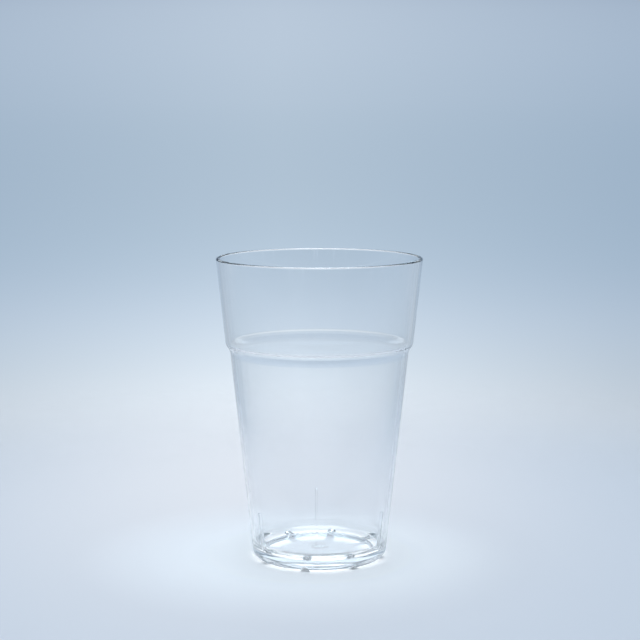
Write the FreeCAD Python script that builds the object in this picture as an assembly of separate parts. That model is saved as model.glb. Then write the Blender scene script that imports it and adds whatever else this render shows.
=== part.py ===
import FreeCAD
import Part
import math
import os

# Clear stacking tumbler, injection moulded in one piece, so it is one solid.
# Millimetres, +Z up. The origin is on the table in the middle of the foot ring.
# The front of the cup faces -Y. Angles are measured from +X, anticlockwise from above.

# Overall size
HEIGHT = 118.0
LIP_DIAMETER = 80.15  # the band's outside carried straight up to the rim; the rounded lip is 80.0 across
BASE_DIAMETER = 52.2  # the body's outside carried straight down to the table
WALL = 1.5

# Lip, band and shoulder: the wall steps in below the band, and the two walls keep one slope
LIP_ROUND = 0.65
BAND_HEIGHT = 33.4
SHOULDER_STEP = 1.4
SHOULDER_ANGLE = 30.0  # slope of the shoulder from upright, degrees
SHOULDER_TOP_ROUND = 3.5  # on the outside, under the band
SHOULDER_FOOT_ROUND = 7.0  # on the outside, where the body starts

# Foot and floor
FOOT_ROUND = 3.1
FOOT_WIDTH = 2.0  # the flat ring that touches the table
FOOT_EDGE_ROUND = 0.35
RECESS_DEPTH = 2.4
RECESS_DRAFT = 0.25  # how far the recess narrows from the foot to its ceiling
RECESS_ROUND = 0.8
FLOOR = 1.6
FLOOR_ROUND = 4.2

# Stacking ribs: the next cup's foot lands on their tops
RIB_COUNT = 3
RIB_TOP = 20.3
RIB_WIDTH = 0.8
RIB_DEPTH = 0.9
RIB_ROUND = 0.2

# Drain notches through the foot ring
NOTCH_COUNT = 8
NOTCH_RADIUS = 1.7

# The first rib and the first notch share this direction
FIRST_ANGLE = 212.5

# Mark left by the moulding gate, in the middle of the recess ceiling
GATE_DIAMETER = 2.2
GATE_HEIGHT = 0.35

LIP_RADIUS = LIP_DIAMETER / 2
BASE_RADIUS = BASE_DIAMETER / 2
FLOOR_TOP = RECESS_DEPTH + FLOOR
SLOPE = (LIP_RADIUS - SHOULDER_STEP - BASE_RADIUS) / HEIGHT
DRAFT = math.atan(SLOPE)


# Flat sections are drawn with x as the radius and y as the height


def point(radius, height):
    return FreeCAD.Vector(radius, height, 0)


def shifted(line, distance):
    """The same straight line, moved sideways towards the axis by the distance."""
    start, direction = line
    inward = point(-direction.y, direction.x)
    return start + inward * distance, direction


def crossing(first, second):
    """Where two lines cross."""
    gap = second[0] - first[0]
    across = first[1].x * second[1].y - first[1].y * second[1].x
    along = (gap.x * second[1].y - gap.y * second[1].x) / across
    return first[0] + first[1] * along


def at_height(line, height):
    return crossing(line, (point(0, height), point(1, 0)))


def rounded_section(corners):
    """A closed flat face through the corners, each (point, rounding radius)."""
    starts = []
    ends = []
    middles = []
    count = len(corners)
    for i, (corner, radius) in enumerate(corners):
        back = (corners[i - 1][0] - corner).normalize()
        ahead = (corners[(i + 1) % count][0] - corner).normalize()
        half = back.getAngle(ahead) / 2
        reach = radius / math.tan(half)
        starts.append(corner + back * reach)
        ends.append(corner + ahead * reach)
        bisector = (back + ahead).normalize()
        middles.append(corner + bisector * (radius / math.sin(half) - radius))
    edges = []
    for i in range(count):
        if corners[i][1] > 0:
            edges.append(Part.Arc(starts[i], middles[i], ends[i]).toShape())
        edges.append(Part.LineSegment(ends[i], starts[(i + 1) % count]).toShape())
    return Part.Face(Part.Wire(edges))


def upright(section):
    """Stands a flat section up, so that its y becomes the cup's height."""
    section.rotate(FreeCAD.Vector(), FreeCAD.Vector(1, 0, 0), 90)
    return section


def turned(shape, angle):
    copy = shape.copy()
    copy.rotate(FreeCAD.Vector(), FreeCAD.Vector(0, 0, 1), angle)
    return copy


def directions(count):
    return [FIRST_ANGLE + i * 360.0 / count for i in range(count)]


# The outside of the wall is three straight lines, and the inside is the same lines one wall thickness in
UP_THE_WALL = point(math.sin(DRAFT), math.cos(DRAFT))
UP_THE_SHOULDER = point(math.sin(math.radians(SHOULDER_ANGLE)), math.cos(math.radians(SHOULDER_ANGLE)))
BODY_OUTSIDE = (point(BASE_RADIUS, 0), UP_THE_WALL)
BAND_OUTSIDE = (point(BASE_RADIUS + SHOULDER_STEP, 0), UP_THE_WALL)
BAND_FOOT = at_height(BAND_OUTSIDE, HEIGHT - BAND_HEIGHT)
SHOULDER_OUTSIDE = (BAND_FOOT, UP_THE_SHOULDER)
BODY_INSIDE = shifted(BODY_OUTSIDE, WALL)
BAND_INSIDE = shifted(BAND_OUTSIDE, WALL)
SHOULDER_INSIDE = shifted(SHOULDER_OUTSIDE, WALL)

# The rounded foot meets the table here, and the recess starts one foot width inside it
FOOT_OUTER = BASE_RADIUS - FOOT_ROUND * math.tan((math.pi / 2 - DRAFT) / 2)
RECESS_RADIUS = FOOT_OUTER - FOOT_WIDTH


def cup_shell():
    """The turned shape: floor, foot ring, body, shoulder, band and rounded lip in one section."""
    corners = [
        (point(0, RECESS_DEPTH), 0),
        (point(RECESS_RADIUS - RECESS_DRAFT, RECESS_DEPTH), RECESS_ROUND),
        (point(RECESS_RADIUS, 0), FOOT_EDGE_ROUND),
        (point(BASE_RADIUS, 0), FOOT_ROUND),
        (crossing(BODY_OUTSIDE, SHOULDER_OUTSIDE), SHOULDER_FOOT_ROUND),
        (BAND_FOOT, SHOULDER_TOP_ROUND),
        (point(LIP_RADIUS, HEIGHT), LIP_ROUND),
        (at_height(BAND_INSIDE, HEIGHT), LIP_ROUND),
        (crossing(BAND_INSIDE, SHOULDER_INSIDE), SHOULDER_TOP_ROUND - WALL),
        (crossing(BODY_INSIDE, SHOULDER_INSIDE), SHOULDER_FOOT_ROUND + WALL),
        (at_height(BODY_INSIDE, FLOOR_TOP), FLOOR_ROUND),
        (point(0, FLOOR_TOP), 0),
    ]
    section = upright(rounded_section(corners))
    return section.revolve(FreeCAD.Vector(), FreeCAD.Vector(0, 0, 1), 360)


def stacking_rib():
    """One upright rib on the inside of the body, rooted in the wall and the floor, at angle 0."""
    face_line = shifted(BODY_INSIDE, RIB_DEPTH)
    root_line = shifted(BODY_OUTSIDE, WALL / 2)
    root_height = RECESS_DEPTH + FLOOR / 2
    corners = [
        (at_height(root_line, root_height), 0),
        (at_height(root_line, RIB_TOP), 0),
        (at_height(face_line, RIB_TOP), RIB_ROUND),
        (at_height(face_line, root_height), 0),
    ]
    section = upright(rounded_section(corners))
    rib = section.extrude(FreeCAD.Vector(0, RIB_WIDTH, 0))
    rib.translate(FreeCAD.Vector(0, -RIB_WIDTH / 2, 0))
    return rib


def drain_notch():
    """One half-round notch along a radius through the foot ring, at angle 0."""
    start = FreeCAD.Vector(RECESS_RADIUS - NOTCH_RADIUS, 0, 0)
    length = BASE_RADIUS + NOTCH_RADIUS - start.x
    return Part.makeCylinder(NOTCH_RADIUS, length, start, FreeCAD.Vector(1, 0, 0))


def gate_mark():
    """A small round nub under the middle of the floor, rooted in it."""
    bottom = FreeCAD.Vector(0, 0, RECESS_DEPTH - GATE_HEIGHT)
    return Part.makeCylinder(GATE_DIAMETER / 2, GATE_HEIGHT + FLOOR / 2, bottom)


def tumbler():
    cup = cup_shell()
    cup = cup.fuse([turned(stacking_rib(), angle) for angle in directions(RIB_COUNT)] + [gate_mark()])
    cup = cup.cut([turned(drain_notch(), angle) for angle in directions(NOTCH_COUNT)])
    return cup.removeSplitter()


os.makedirs("parts", exist_ok=True)
cup = tumbler()
solid = cup.Solids[0]
solid.exportStep("parts/tumbler.step")
print("solids", len(cup.Solids), "valid", solid.isValid(), "volume mm3", round(solid.Volume, 1))
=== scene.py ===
import math

import bmesh
import bpy
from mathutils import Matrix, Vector


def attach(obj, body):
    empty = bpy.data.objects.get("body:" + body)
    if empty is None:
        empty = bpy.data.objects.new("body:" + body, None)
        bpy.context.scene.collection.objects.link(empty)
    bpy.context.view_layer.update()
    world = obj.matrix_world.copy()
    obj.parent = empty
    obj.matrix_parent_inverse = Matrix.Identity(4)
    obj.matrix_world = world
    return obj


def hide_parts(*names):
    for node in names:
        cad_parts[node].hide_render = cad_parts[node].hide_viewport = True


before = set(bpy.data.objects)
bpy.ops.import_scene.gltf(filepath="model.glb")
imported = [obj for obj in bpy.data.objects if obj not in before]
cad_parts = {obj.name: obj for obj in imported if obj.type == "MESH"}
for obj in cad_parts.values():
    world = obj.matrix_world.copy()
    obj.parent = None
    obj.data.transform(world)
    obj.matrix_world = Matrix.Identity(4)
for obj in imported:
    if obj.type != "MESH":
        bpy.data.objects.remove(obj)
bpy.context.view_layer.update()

# Clear stacking tumbler. The front of the cup faces -Y, and angles round its axis are measured from +X,
# anticlockwise from above. Its sizes are in millimetres, as in the CAD model, and become metres in the mesh.
MM = 0.001

# Overall size
HEIGHT = 118.0
LIP_RADIUS = 40.075
BASE_RADIUS = 26.1
WALL = 1.5

# Lip, band and shoulder
LIP_ROUND = 0.65
BAND_HEIGHT = 33.4
SHOULDER_STEP = 1.4
SHOULDER_SLOPE = math.radians(30.0)
SHOULDER_TOP_ROUND = 3.5
SHOULDER_FOOT_ROUND = 7.0

# Foot and floor
FOOT_ROUND = 3.1
FOOT_WIDTH = 2.0
FOOT_EDGE_ROUND = 0.35
RECESS_DEPTH = 2.4
RECESS_DRAFT = 0.25
RECESS_ROUND = 0.8
FLOOR = 1.6
FLOOR_ROUND = 4.2
GATE_RADIUS = 1.1
GATE_HEIGHT = 0.35
GATE_ROUND = 0.15

# Stacking ribs
RIB_COUNT = 3
RIB_TOP = 20.3
RIB_WIDTH = 0.8
RIB_DEPTH = 0.9
RIB_ROUND = 0.2
RIB_SIDE_DRAFT = 0.06

# Drain notches
NOTCH_COUNT = 8
NOTCH_RADIUS = 1.7
NOTCH_EDGE_ROUND = 0.14

FIRST_ANGLE = math.radians(212.5)

DRAFT = math.atan((LIP_RADIUS - SHOULDER_STEP - BASE_RADIUS) / HEIGHT)
FOOT_OUTER = BASE_RADIUS - FOOT_ROUND * math.tan((math.pi / 2 - DRAFT) / 2)
RECESS_RADIUS = FOOT_OUTER - FOOT_WIDTH
FLOOR_TOP = RECESS_DEPTH + FLOOR

# Heights where the lines of the outer and the inner wall begin, clear of the foot and of the ribs
OUTER_WALL_START = FOOT_ROUND + 1
INNER_WALL_START = RIB_TOP + 1

# Mesh: the steps of a rounding, the longest straight run and the least angle between two upright lines
ARC_STEP = math.radians(7.5)
LEAST_ARC_STEPS = 4
LONGEST_RUN = 6.0
LEAST_TURN = 0.0004

# Upright lines at a notch: degrees round its arch, and distances beyond its edge. They are spaced for this
# radius, and under the cup they run parallel to the notch from just inside the recess outwards.
NOTCH_ARCH_LINES = range(0, 91, 9)
NOTCH_MARGIN_LINES = (0.04, 0.1, 0.2, 0.4, 0.8)
NOTCH_REACH = NOTCH_RADIUS + NOTCH_MARGIN_LINES[-1]
NOTCH_LINE_RADIUS = 23.8
NOTCH_HALF_ANGLE = math.asin(NOTCH_REACH / NOTCH_LINE_RADIUS)
NOTCH_START = RECESS_RADIUS - 1
STEPS_BETWEEN_NOTCHES = 20

# A point that a notch's rounded edge would lift by less than this stays where it is
LEAST_LIFT = 0.004

# Upright lines at a rib: shares of its half width on the face, and shares of the draft at its sides
RIB_FACE_LINES = (0, 0.5, 0.8)
RIB_SIDE_LINES = (-1.6, -1, -0.5, 0, 0.5, 1, 1.6, 3, 6)

# Level lines at the top of a rib: heights above it, and degrees round its edge. Points higher above it than
# the margin are off the rib.
RIB_TOP_LINES = (0.3, 0.06, 0, -0.03)
RIB_EDGE_LINES = (40, 55, 70, 90)
RIB_MARGIN = 0.03


# Section: points are (radius, height)


def line(radius, height, slope):
    """A straight line through a point, its slope measured from upright."""
    return Vector((radius, height)), Vector((math.sin(slope), math.cos(slope)))


def inwards(path, distance):
    start, direction = path
    return start + Vector((-direction.y, direction.x)) * distance, direction


def crossing(first, second):
    gap = second[0] - first[0]
    across = first[1].x * second[1].y - first[1].y * second[1].x
    along = (gap.x * second[1].y - gap.y * second[1].x) / across
    return first[0] + first[1] * along


def at_height(path, height):
    return crossing(path, (Vector((0, height)), Vector((1, 0))))


def corner_arc(before, corner, after, radius):
    """Points of the rounding at a corner, close enough together to look smooth."""
    back = (before - corner).normalized()
    ahead = (after - corner).normalized()
    half = back.angle(ahead) / 2
    centre = corner + (back + ahead).normalized() * (radius / math.sin(half))
    start = corner + back * (radius / math.tan(half)) - centre
    turn = math.pi - 2 * half
    if back.x * ahead.y - back.y * ahead.x > 0:
        turn = -turn
    steps = max(LEAST_ARC_STEPS, round(abs(turn) / ARC_STEP))
    points = []
    for i in range(steps + 1):
        angle = turn * i / steps
        points.append(centre + Vector((
            start.x * math.cos(angle) - start.y * math.sin(angle),
            start.x * math.sin(angle) + start.y * math.cos(angle),
        )))
    return points


def along(points, limit):
    """The same open line with extra points, so that no run is longer than the limit."""
    result = [points[0]]
    for a, b in zip(points, points[1:]):
        steps = max(1, math.ceil((b - a).length / limit))
        result += [a.lerp(b, i / steps) for i in range(1, steps + 1)]
    return result


def rounded(corners):
    points = [corners[0][0]]
    for (before, _), (corner, radius), (after, _) in zip(corners, corners[1:], corners[2:]):
        points += corner_arc(before, corner, after, radius)
    return points + [corners[-1][0]]


BODY_OUTSIDE = line(BASE_RADIUS, 0, DRAFT)
BAND_OUTSIDE = line(BASE_RADIUS + SHOULDER_STEP, 0, DRAFT)
BAND_FOOT = at_height(BAND_OUTSIDE, HEIGHT - BAND_HEIGHT)
SHOULDER_OUTSIDE = line(BAND_FOOT.x, BAND_FOOT.y, SHOULDER_SLOPE)
BODY_INSIDE = inwards(BODY_OUTSIDE, WALL)
BAND_INSIDE = inwards(BAND_OUTSIDE, WALL)
SHOULDER_INSIDE = inwards(SHOULDER_OUTSIDE, WALL)
RIB_FACE = inwards(BODY_INSIDE, RIB_DEPTH)


def underside():
    """From the middle of the recess out to the start of the outer wall, just above the foot."""
    corners = [
        (Vector((0, RECESS_DEPTH - GATE_HEIGHT)), 0),
        (Vector((GATE_RADIUS, RECESS_DEPTH - GATE_HEIGHT)), GATE_ROUND),
        (Vector((GATE_RADIUS, RECESS_DEPTH)), GATE_ROUND),
        (Vector((RECESS_RADIUS - RECESS_DRAFT, RECESS_DEPTH)), RECESS_ROUND),
        (Vector((RECESS_RADIUS, 0)), FOOT_EDGE_ROUND),
        (Vector((BASE_RADIUS, 0)), FOOT_ROUND),
        (at_height(BODY_OUTSIDE, OUTER_WALL_START), 0),
    ]
    return rounded(corners)


def outside():
    """From just above the foot up the outer wall, over the lip and down to the inside of the band."""
    corners = [
        (at_height(BODY_OUTSIDE, OUTER_WALL_START), 0),
        (crossing(BODY_OUTSIDE, SHOULDER_OUTSIDE), SHOULDER_FOOT_ROUND),
        (BAND_FOOT, SHOULDER_TOP_ROUND),
        (Vector((LIP_RADIUS, HEIGHT)), LIP_ROUND),
        (at_height(BAND_INSIDE, HEIGHT), LIP_ROUND),
        (crossing(BAND_INSIDE, SHOULDER_INSIDE), SHOULDER_TOP_ROUND - WALL),
        (crossing(BODY_INSIDE, SHOULDER_INSIDE), SHOULDER_FOOT_ROUND + WALL),
        (at_height(BODY_INSIDE, INNER_WALL_START), 0),
    ]
    return rounded(corners)


def inside():
    """From just above the ribs down the inner wall and across the floor to the middle."""
    heights = [INNER_WALL_START]
    heights += [RIB_TOP + above for above in RIB_TOP_LINES]
    heights += [RIB_TOP - RIB_ROUND * (1 - math.cos(math.radians(a))) for a in RIB_EDGE_LINES]
    points = [at_height(BODY_INSIDE, z) for z in heights]
    floor_edge = [
        (points[-1], 0),
        (at_height(BODY_INSIDE, FLOOR_TOP), FLOOR_ROUND),
        (Vector((0, FLOOR_TOP)), 0),
    ]
    return points + rounded(floor_edge)[1:]


# Plan: where the upright lines of the mesh stand around the axis


def around():
    """Angles of the mesh's upright lines, closer together at the notches and the ribs."""
    notch_pitch = 2 * math.pi / NOTCH_COUNT
    arch = [NOTCH_RADIUS * math.sin(math.radians(a)) for a in NOTCH_ARCH_LINES]
    rim = [NOTCH_RADIUS + d for d in NOTCH_MARGIN_LINES]
    offsets = sorted({-y for y in arch + rim} | set(arch + rim))
    plain = notch_pitch - 2 * NOTCH_HALF_ANGLE
    angles = []
    for k in range(NOTCH_COUNT):
        middle = FIRST_ANGLE + k * notch_pitch
        angles += [middle + math.asin(y / NOTCH_LINE_RADIUS) for y in offsets]
        for i in range(1, STEPS_BETWEEN_NOTCHES):
            angles.append(middle + NOTCH_HALF_ANGLE + plain * i / STEPS_BETWEEN_NOTCHES)
    half = RIB_WIDTH / 2
    rib_lines = [half * share for share in RIB_FACE_LINES]
    rib_lines += [half + RIB_SIDE_DRAFT * d for d in RIB_SIDE_LINES]
    radius = at_height(BODY_INSIDE, RIB_TOP / 2).x
    for k in range(RIB_COUNT):
        middle = FIRST_ANGLE + k * 2 * math.pi / RIB_COUNT
        angles += [middle + side * math.asin(y / radius) for y in rib_lines for side in (-1, 1)]
    angles = sorted(angle % (2 * math.pi) for angle in angles)
    kept = [angles[0]]
    for angle in angles[1:]:
        if angle - kept[-1] > LEAST_TURN:
            kept.append(angle)
    return kept


def from_nearest(angle, count):
    """How far an angle lies from the nearest of the evenly spaced features."""
    pitch = 2 * math.pi / count
    return (angle - FIRST_ANGLE + pitch / 2) % pitch - pitch / 2


def swung(angle, radius):
    """The angle of an upright line at a radius under the cup: the lines at a notch run parallel there."""
    off = from_nearest(angle, NOTCH_COUNT)
    radius_here = min(max(radius, NOTCH_START), BASE_RADIUS)
    if abs(off) <= NOTCH_HALF_ANGLE:
        side = NOTCH_LINE_RADIUS * math.sin(off)
        new = math.asin(side / radius_here)
    else:
        edge = math.asin(NOTCH_REACH / radius_here)
        half = math.pi / NOTCH_COUNT
        share = (abs(off) - NOTCH_HALF_ANGLE) / (half - NOTCH_HALF_ANGLE)
        new = math.copysign(edge + share * (half - edge), off)
    return angle - off + new


def smooth_step(value):
    value = min(max(value, 0), 1)
    return value * value * (3 - 2 * value)


def notched(point, angle):
    """A point of the underside, lifted where it lies in a drain notch."""
    if point.x < NOTCH_START:
        return point
    side = point.x * math.sin(from_nearest(angle, NOTCH_COUNT))
    square = NOTCH_RADIUS ** 2 - side ** 2
    arch = math.copysign(math.sqrt(abs(square)), square)
    gap = arch - point.y
    lift = (gap + math.sqrt(gap * gap + NOTCH_EDGE_ROUND ** 2)) / 2
    if lift < LEAST_LIFT:
        return point
    return Vector((point.x, point.y + lift))


def ribbed(point, angle):
    """A point of the inside, moved inwards where it lies on a stacking rib."""
    if point.y > RIB_TOP + RIB_MARGIN:
        return point
    side = abs(point.x * math.sin(from_nearest(angle, RIB_COUNT)))
    cover = 1 - smooth_step((side - RIB_WIDTH / 2 + RIB_SIDE_DRAFT) / (2 * RIB_SIDE_DRAFT))
    if cover <= 0:
        return point
    face = at_height(RIB_FACE, point.y).x
    up = point.y - (RIB_TOP - RIB_ROUND)
    if up > 0:
        up = min(up, RIB_ROUND)
        face += RIB_ROUND - math.sqrt(RIB_ROUND ** 2 - up ** 2)
    if point.x <= face:
        return point
    return Vector((point.x + (face - point.x) * cover, point.y))


def cup_mesh():
    """The cup as one closed surface: the section's points along every upright line, joined all round."""
    angles = around()
    under = along(underside(), LONGEST_RUN)
    outer = along(outside(), LONGEST_RUN)[1:]
    inner = along(inside(), LONGEST_RUN)[1:]
    mesh = bmesh.new()
    columns = []
    low = mesh.verts.new((0, 0, under[0].y * MM))
    high = mesh.verts.new((0, 0, inner[-1].y * MM))
    for angle in angles:
        column = []
        for point in under[1:]:
            there = swung(angle, point.x)
            column.append((notched(point, there), there))
        column += [(point, swung(angle, BASE_RADIUS)) for point in outer]
        for point in inner[:-1]:
            column.append((ribbed(point, angle), angle))
        columns.append([
            mesh.verts.new((p.x * math.cos(a) * MM, p.x * math.sin(a) * MM, p.y * MM)) for p, a in column
        ])
    for here, there in zip(columns, columns[1:] + columns[:1]):
        mesh.faces.new((low, there[0], here[0]))
        mesh.faces.new((high, here[-1], there[-1]))
        for i in range(len(here) - 1):
            mesh.faces.new((here[i], there[i], there[i + 1], here[i + 1]))
    bmesh.ops.recalc_face_normals(mesh, faces=mesh.faces)
    for face in mesh.faces:
        face.smooth = True
    data = bpy.data.meshes.new("tumbler_moulding")
    mesh.to_mesh(data)
    mesh.free()
    return data


# Material nodes


def blank_tree(holder):
    """The node tree of a material or a world, emptied."""
    holder.use_nodes = True
    holder.node_tree.nodes.clear()
    return holder.node_tree


def add(tree, kind, **settings):
    node = tree.nodes.new(kind)
    for name, value in settings.items():
        setattr(node, name, value)
    return node


def feed(tree, socket, value):
    """Sets a socket to a plain value, or links another node's output to it."""
    if isinstance(value, bpy.types.NodeSocket):
        tree.links.new(value, socket)
    else:
        socket.default_value = value


def worked_out(tree, operation, *values):
    """What a Math node makes of plain values or other nodes' outputs."""
    node = add(tree, "ShaderNodeMath", operation=operation)
    for socket, value in zip(node.inputs, values):
        feed(tree, socket, value)
    return node.outputs[0]


def distance(tree, place, centre):
    node = add(tree, "ShaderNodeVectorMath", operation="DISTANCE")
    feed(tree, node.inputs[0], place)
    feed(tree, node.inputs[1], centre)
    return node.outputs["Value"]


def mixed(tree, share, first, second):
    """The first colour where the share is 0, the second where it is 1."""
    node = add(tree, "ShaderNodeMix", data_type="RGBA")
    feed(tree, node.inputs["Factor"], share)
    feed(tree, node.inputs[6], first)
    feed(tree, node.inputs[7], second)
    return node.outputs[2]


def noise(tree, place, scale, detail, stretch):
    """Noise in the cup's own coordinates, drawn out along an axis by a small stretch factor."""
    shape = add(tree, "ShaderNodeMapping")
    texture = add(tree, "ShaderNodeTexNoise")
    feed(tree, shape.inputs["Vector"], place)
    feed(tree, shape.inputs["Scale"], stretch)
    feed(tree, texture.inputs["Vector"], shape.outputs[0])
    feed(tree, texture.inputs["Scale"], scale)
    feed(tree, texture.inputs["Detail"], detail)
    return texture.outputs["Fac"]


def ranged(tree, value, between, start, end):
    """A soft step from the start to the end, while the value goes between two limits."""
    node = add(tree, "ShaderNodeMapRange", interpolation_type="SMOOTHSTEP")
    feed(tree, node.inputs["Value"], value)
    feed(tree, node.inputs["From Min"], between[0])
    feed(tree, node.inputs["From Max"], between[1])
    feed(tree, node.inputs["To Min"], start)
    feed(tree, node.inputs["To Max"], end)
    return node.outputs["Result"]


def gradient(tree, stops, place, low, high):
    """A smooth ramp through the stops, each (where it stands between low and high, colour)."""
    span = add(tree, "ShaderNodeMapRange")
    feed(tree, span.inputs["Value"], place)
    feed(tree, span.inputs["From Min"], low)
    feed(tree, span.inputs["From Max"], high)
    ramp = add(tree, "ShaderNodeValToRGB")
    ramp.color_ramp.interpolation = "B_SPLINE"
    points = ramp.color_ramp.elements
    while len(points) < len(stops):
        points.new(0.5)
    for element, (stand, colour) in zip(points, stops):
        element.position = (stand - low) / (high - low)
        element.color = tuple(colour) + (1,)
    feed(tree, ramp.inputs["Fac"], span.outputs["Result"])
    return ramp.outputs["Color"]


def by_radius(tree, stops, radius):
    """A smooth ramp of plain values, each (distance from the axis, value)."""
    greys = [(stand, (value, value, value)) for stand, value in stops]
    return gradient(tree, greys, radius, 0, stops[-1][0])


# Clear plastic. Lengths are in metres, and a noise is (scale, detail, stretch).
PLASTIC_TINTS = ((0.985, 0.992, 0.998, 1), (0.995, 0.998, 1.0, 1))
PLASTIC_INSIDE = (0.90, 0.925, 0.935, 1)
PLASTIC_INSIDE_DENSITY = 35.0
MOULD_RIPPLE = (90.0, 1.0, (1, 1, 1))
FLOW_LINES = (320.0, 2.0, (1, 1, 0.12))
FLOW_DEPTH = 0.12
HAIRLINES = (1500.0, 0.0, (1, 1, 0.05))
HAIRLINE_EDGES = (0.72, 0.8)
HAIRLINE_ROUGHNESS = 0.12
BUMP_STRENGTH = 0.3
BUMP_HEIGHT = 0.00005
PLASTIC_IOR = 1.585


def clear_plastic():
    """Clear moulded plastic: a slow ripple from the mould, fine flow lines and a few hairline scratches."""
    material = bpy.data.materials.new("clear_plastic_look")
    tree = blank_tree(material)
    out = add(tree, "ShaderNodeOutputMaterial")
    body = add(tree, "ShaderNodeBsdfPrincipled")
    body.inputs["Transmission Weight"].default_value = 1.0
    body.inputs["IOR"].default_value = PLASTIC_IOR
    place = add(tree, "ShaderNodeTexCoord").outputs["Object"]
    ripple = noise(tree, place, *MOULD_RIPPLE)
    flow = noise(tree, place, *FLOW_LINES)
    hairlines = noise(tree, place, *HAIRLINES)
    bump = add(tree, "ShaderNodeBump")
    bump.inputs["Strength"].default_value = BUMP_STRENGTH
    bump.inputs["Distance"].default_value = BUMP_HEIGHT
    feed(tree, bump.inputs["Height"], worked_out(tree, "MULTIPLY_ADD", flow, FLOW_DEPTH, ripple))
    feed(tree, body.inputs["Base Color"], mixed(tree, flow, *PLASTIC_TINTS))
    feed(tree, body.inputs["Roughness"], ranged(tree, hairlines, HAIRLINE_EDGES, 0.0, HAIRLINE_ROUGHNESS))
    feed(tree, body.inputs["Normal"], bump.outputs[0])
    inner = add(tree, "ShaderNodeVolumeAbsorption")
    inner.inputs["Color"].default_value = PLASTIC_INSIDE
    inner.inputs["Density"].default_value = PLASTIC_INSIDE_DENSITY
    feed(tree, out.inputs["Surface"], body.outputs[0])
    feed(tree, out.inputs["Volume"], inner.outputs[0])
    return material


# Floor of the studio, in metres
STAGE_RADIUS = 0.6
STAGE_SIDES = 128
STAGE_ROUGHNESS = 0.6
STAGE_GLOSS = 0.3

# Painted light: a pool of light painted into the floor's colour, palest behind the cup and bluer further
# out, in rings drawn out along Y. The middle of the rings and their spread are given after the squash that
# draws them out.
PAINTED_LIGHT_NEAR = (0.772, 0.732, 0.732, 1)
PAINTED_LIGHT_FAR = (0.545, 0.565, 0.613, 1)
PAINTED_LIGHT_MIDDLE = (-0.028, 0.075, 0)
PAINTED_LIGHT_SQUASH = (1, 0.5, 1)
PAINTED_LIGHT_SPREAD = (0, 0.2)

# Close round the cup it is nearly white: a painted pool of light, for the light that comes down through the
# cup
CUP_POOL_PAINTED_LIGHT = (0.97, 0.98, 1.0, 1)
CUP_POOL_PAINTED_MIDDLE = (-0.006, 0, 0)
CUP_POOL_PAINTED_EDGE = (0.018, 0.094)

# Far out it fades into the backdrop, with a grainy edge that leaves no line
FADE_EDGE = (0.26, 0.44)
FADE_GRAIN = 0.16

# Painted light: the floor itself glows here, for the light that the cup gathers onto it: (distance from the
# axis, strength)
GLOW_COLOUR = (0.97, 0.99, 1.0, 1)
GLOW = [
    (0, 0.13),
    (0.010, 0.13),
    (0.015, 0.13),
    (0.019, 0.02),
    (0.024, 0.01),
    (0.0265, 0.15),
    (0.030, 0.12),
    (0.036, 0.09),
    (0.046, 0.06),
    (0.056, 0.03),
    (0.068, 0),
    (0.076, 0),
]

# Painted light: the floor itself glows under the foot ring, for the light that the ring brings down:
# (distance from the axis, strength)
GLOW_UNDER_FOOT = [
    (0, 0),
    (0.013, 0),
    (0.016, 0.08),
    (0.0195, 0.85),
    (0.0215, 1.0),
    (0.0235, 0.95),
    (0.026, 0.2),
    (0.028, 0),
    (0.031, 0),
]

# A notch brings none down, so there is painted shade under it: the glow sets in between these distances from
# the middle of the notch
NOTCH_SHADE = (0.0012, 0.0024)


def floor_colour(tree, place):
    """The wide rings of painted light, and the nearly white painted pool of light round the cup."""
    squashed = add(tree, "ShaderNodeVectorMath", operation="MULTIPLY")
    feed(tree, squashed.inputs[0], place)
    feed(tree, squashed.inputs[1], PAINTED_LIGHT_SQUASH)
    from_middle = distance(tree, squashed.outputs[0], PAINTED_LIGHT_MIDDLE)
    wide = mixed(tree, ranged(tree, from_middle, PAINTED_LIGHT_SPREAD, 0, 1), PAINTED_LIGHT_NEAR, PAINTED_LIGHT_FAR)
    from_painted_cup_pool = distance(tree, place, CUP_POOL_PAINTED_MIDDLE)
    return mixed(tree, ranged(tree, from_painted_cup_pool, CUP_POOL_PAINTED_EDGE, 0, 1), CUP_POOL_PAINTED_LIGHT, wide)


def floor_glow(tree, place, from_cup):
    """The painted glow of gathered light, with painted shade under each notch."""
    split = add(tree, "ShaderNodeSeparateXYZ")
    feed(tree, split.inputs[0], place)
    angle = worked_out(tree, "ARCTAN2", split.outputs["Y"], split.outputs["X"])
    from_first = worked_out(tree, "SUBTRACT", angle, FIRST_ANGLE)
    from_notch = worked_out(tree, "PINGPONG", from_first, math.pi / NOTCH_COUNT)
    side = worked_out(tree, "MULTIPLY", from_notch, from_cup)
    under_foot = by_radius(tree, GLOW_UNDER_FOOT, from_cup)
    unshaded = ranged(tree, side, NOTCH_SHADE, 0, 1)
    return worked_out(tree, "MULTIPLY_ADD", under_foot, unshaded, by_radius(tree, GLOW, from_cup))


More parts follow.
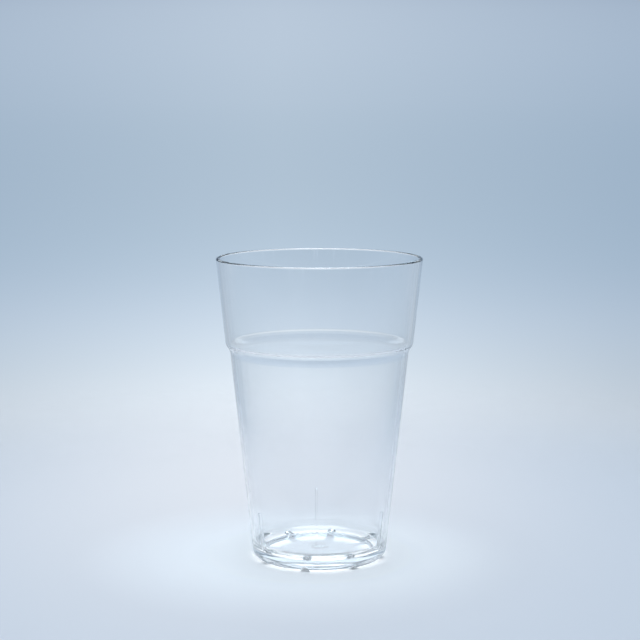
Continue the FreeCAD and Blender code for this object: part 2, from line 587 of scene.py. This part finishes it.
def floor_look():
    """A pale floor with a painted pool of light behind the cup, and the light through the cup where it
    stands painted in as a white pool and a glow, that fades into the backdrop far out.
    """
    material = bpy.data.materials.new("floor_look")
    tree = blank_tree(material)
    out = add(tree, "ShaderNodeOutputMaterial")
    matt = add(tree, "ShaderNodeBsdfPrincipled")
    matt.inputs["Roughness"].default_value = STAGE_ROUGHNESS
    matt.inputs["Specular IOR Level"].default_value = STAGE_GLOSS
    matt.inputs["Emission Color"].default_value = GLOW_COLOUR
    place = add(tree, "ShaderNodeTexCoord").outputs["Object"]
    from_cup = distance(tree, place, (0, 0, 0))
    feed(tree, matt.inputs["Base Color"], floor_colour(tree, place))
    feed(tree, matt.inputs["Emission Strength"], floor_glow(tree, place, from_cup))
    grain = add(tree, "ShaderNodeTexWhiteNoise")
    feed(tree, grain.inputs["Vector"], place)
    frayed = worked_out(tree, "MULTIPLY_ADD", grain.outputs["Value"], FADE_GRAIN, from_cup)
    clear = add(tree, "ShaderNodeBsdfTransparent")
    mix = add(tree, "ShaderNodeMixShader")
    feed(tree, mix.inputs["Fac"], ranged(tree, frayed, FADE_EDGE, 0, 1))
    feed(tree, mix.inputs[1], matt.outputs[0])
    feed(tree, mix.inputs[2], clear.outputs[0])
    feed(tree, out.inputs["Surface"], mix.outputs[0])
    return material


def floor_disc():
    mesh = bmesh.new()
    bmesh.ops.create_circle(mesh, cap_ends=True, segments=STAGE_SIDES, radius=STAGE_RADIUS)
    data = bpy.data.meshes.new("floor")
    mesh.to_mesh(data)
    mesh.free()
    disc = bpy.data.objects.new("floor", data)
    bpy.context.scene.collection.objects.link(disc)
    data.materials.append(floor_look())
    return disc


# Studio air. Angles are in degrees: up from level, and round to both sides from the middle of the lit sweep,
# which stands behind the cup and a little to the left.
SWEEP_LEFT = math.radians(1.5)

# Soft lights: each fades in at its foot, and out at its top and its ends where it has them
LAMPS = [
    {"colour": (0.82, 0.92, 1.0), "strength": 5.6, "foot": (64, 72)},
    {"colour": (0.85, 0.93, 1.0), "strength": 1.2, "foot": (9, 12), "top": (17, 21), "ends": (50, 80)},
]

# How much of the lit sweep is left: (angle round, share)
SWEEP = [
    (0, 1.0),
    (4, 0.77),
    (8, 0.53),
    (12, 0.3),
    (18, 0.08),
    (26, 0),
    (34, 0.12),
    (48, 0.45),
    (75, 0.45),
    (110, 0.15),
    (180, 0),
]

# Backdrop: (angle up, colour in the sweep, share of it in the walls beside the sweep)
SIDE_TINT = (0.93, 1.0, 1.08)
BACKDROP = [
    (-90, (0.70, 0.79, 0.87), 0.7),
    (-22, (0.68, 0.77, 0.86), 0.6),
    (-17.3, (0.70, 0.79, 0.87), 0.56),
    (-14.2, (0.76, 0.86, 0.94), 0.55),
    (-12.5, (0.83, 0.91, 0.99), 0.55),
    (-11, (0.885, 0.95, 1.02), 0.55),
    (-9.4, (0.75, 0.845, 0.935), 0.58),
    (-7.8, (0.64, 0.745, 0.865), 0.65),
    (-6.2, (0.52, 0.635, 0.76), 0.7),
    (-4.65, (0.46, 0.575, 0.695), 0.75),
    (-3, (0.437, 0.545, 0.66), 0.78),
    (-1.5, (0.437, 0.545, 0.66), 0.78),
    (0, (0.457, 0.56, 0.675), 0.78),
    (3.2, (0.53, 0.625, 0.745), 0.75),
    (5, (0.36, 0.45, 0.57), 0.6),
    (7, (0.14, 0.21, 0.30), 0.5),
    (10, (0.07, 0.12, 0.20), 0.5),
    (20, (0.05, 0.09, 0.16), 0.5),
    (40, (0.08, 0.13, 0.21), 0.5),
    (60, (0.95, 1.0, 1.0), 0.6),
    (90, (0.95, 1.0, 1.0), 0.8),
]


def sine(degrees):
    return math.sin(math.radians(degrees))


def soft_light(tree, height, turn, lamp):
    """One of the soft lights, by the sine of the angle up and by the angle round."""
    fades = [ranged(tree, height, [sine(v) for v in lamp["foot"]], 0, 1)]
    if "top" in lamp:
        fades.append(ranged(tree, height, [sine(v) for v in lamp["top"]], 1, 0))
    if "ends" in lamp:
        fades.append(ranged(tree, turn, [math.radians(v) for v in lamp["ends"]], 1, 0))
    strength = lamp["strength"]
    for fade in fades:
        strength = worked_out(tree, "MULTIPLY", strength, fade)
    light = add(tree, "ShaderNodeBackground")
    light.inputs["Color"].default_value = lamp["colour"] + (1,)
    feed(tree, light.inputs["Strength"], strength)
    return light.outputs[0]


def backdrop(tree, height, turn):
    """The lit sweep behind the cup and the dimmer walls beside it."""
    lit = [(math.radians(angle), (share, share, share)) for angle, share in SWEEP]
    behind = [(sine(up), colour) for up, colour, _ in BACKDROP]
    aside = []
    for up, colour, share in BACKDROP:
        aside.append((sine(up), [value * share * part for value, part in zip(colour, SIDE_TINT)]))
    share_lit = gradient(tree, lit, turn, 0, math.pi)
    colour_aside = gradient(tree, aside, height, -1, 1)
    colour_behind = gradient(tree, behind, height, -1, 1)
    light = add(tree, "ShaderNodeBackground")
    feed(tree, light.inputs["Color"], mixed(tree, share_lit, colour_aside, colour_behind))
    return light.outputs[0]


def studio_air():
    """All that the cup stands in front of and is lit by: the backdrop and the soft lights added to it."""
    world = bpy.data.worlds.new("studio")
    tree = blank_tree(world)
    out = add(tree, "ShaderNodeOutputWorld")
    split = add(tree, "ShaderNodeSeparateXYZ")
    feed(tree, split.inputs[0], add(tree, "ShaderNodeTexCoord").outputs["Generated"])
    height = split.outputs["Z"]
    bearing = worked_out(tree, "ARCTAN2", split.outputs["X"], split.outputs["Y"])
    turn = worked_out(tree, "ABSOLUTE", worked_out(tree, "ADD", bearing, SWEEP_LEFT))
    air = backdrop(tree, height, turn)
    for lamp in LAMPS:
        both = add(tree, "ShaderNodeAddShader")
        feed(tree, both.inputs[0], air)
        feed(tree, both.inputs[1], soft_light(tree, height, turn, lamp))
        air = both.outputs[0]
    feed(tree, out.inputs["Surface"], air)
    bpy.context.scene.world = world


# Camera where the photo was taken from: its place in metres, its angle below level in degrees, and the lens
CAMERA_PLACE = (0, -0.6251, 0.1779)
CAMERA_DOWN = 7.69
CAMERA_LENS = 91.3
CAMERA_SHIFT = 0.001
CAMERA_NEAR = 0.01
SENSOR_WIDTH = 36


def photo_camera():
    data = bpy.data.cameras.new("photo_camera")
    data.sensor_width = SENSOR_WIDTH
    data.lens = CAMERA_LENS
    data.shift_x = CAMERA_SHIFT
    data.clip_start = CAMERA_NEAR
    camera = bpy.data.objects.new("photo_camera", data)
    camera.location = CAMERA_PLACE
    camera.rotation_euler = (math.radians(90 - CAMERA_DOWN), 0, 0)
    bpy.context.scene.collection.objects.link(camera)
    bpy.context.scene.camera = camera


cup = bpy.data.objects.new("tumbler_clear", cup_mesh())
bpy.context.scene.collection.objects.link(cup)
cup.data.materials.append(clear_plastic())
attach(cup, "root")
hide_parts("tumbler")

# The larger faces lead the shading, so that flat stretches stay flat
weighted = cup.modifiers.new("even_shading", "WEIGHTED_NORMAL")
weighted.keep_sharp = True

floor_disc()
studio_air()
photo_camera()

# Light is guided a long way inside the clear wall
LIGHT_BOUNCES = 64
scene = bpy.context.scene
scene.view_settings.view_transform = "Standard"
scene.cycles.max_bounces = LIGHT_BOUNCES
scene.cycles.transmission_bounces = LIGHT_BOUNCES
scene.cycles.glossy_bounces = LIGHT_BOUNCES

print("triangles", sum(len(p.vertices) - 2 for p in cup.data.polygons))
